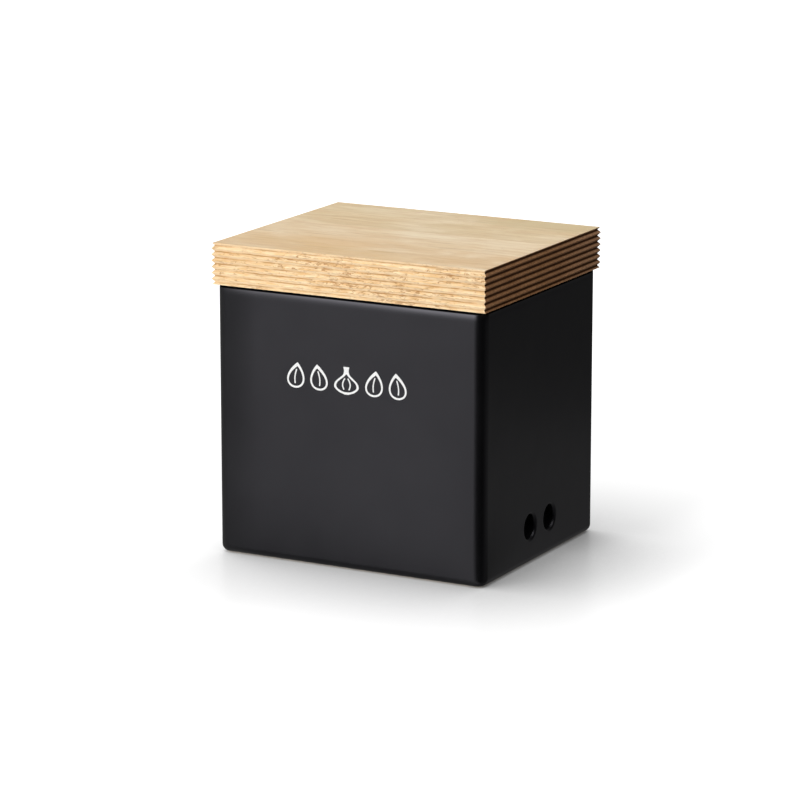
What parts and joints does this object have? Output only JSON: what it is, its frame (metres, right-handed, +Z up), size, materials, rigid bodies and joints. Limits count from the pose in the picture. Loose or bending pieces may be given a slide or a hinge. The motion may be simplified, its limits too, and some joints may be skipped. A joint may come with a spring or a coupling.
{
  "type": "ceramic garlic keeper with wooden lid",
  "caption": "Square-edged black glazed ceramic garlic keeper with vent holes low at both ends and a lift-off wooden lid whose edge is cut with fine V-grooves.",
  "frame": {"origin": "centre of the pot's footprint, on the surface that the keeper stands on", "axes": "+Z up along the lid's lift, +X along the long side towards one vented end wall, +Y from the front towards the back"},
  "size_m": [0.136, 0.116, 0.1417],
  "materials": {
    "black_glaze": "satin black glaze",
    "wood_front": "oiled pale rubberwood",
    "wood_middle": "oiled pale rubberwood",
    "wood_back": "oiled pale rubberwood",
    "silicone": "milky soft silicone"
  },
  "bodies": {
    "pot": {"pot": "black_glaze"},
    "lid": {"lid_stave_front": "wood_front", "lid_stave_middle": "wood_middle", "lid_stave_back": "wood_back", "seal_ring": "silicone"}
  },
  "joints": [
    {"name": "lid_lift", "type": "slide", "parent": "pot", "child": "lid", "axis": [0, 0, 1], "range_m": [0, 0.15]}
  ]
}
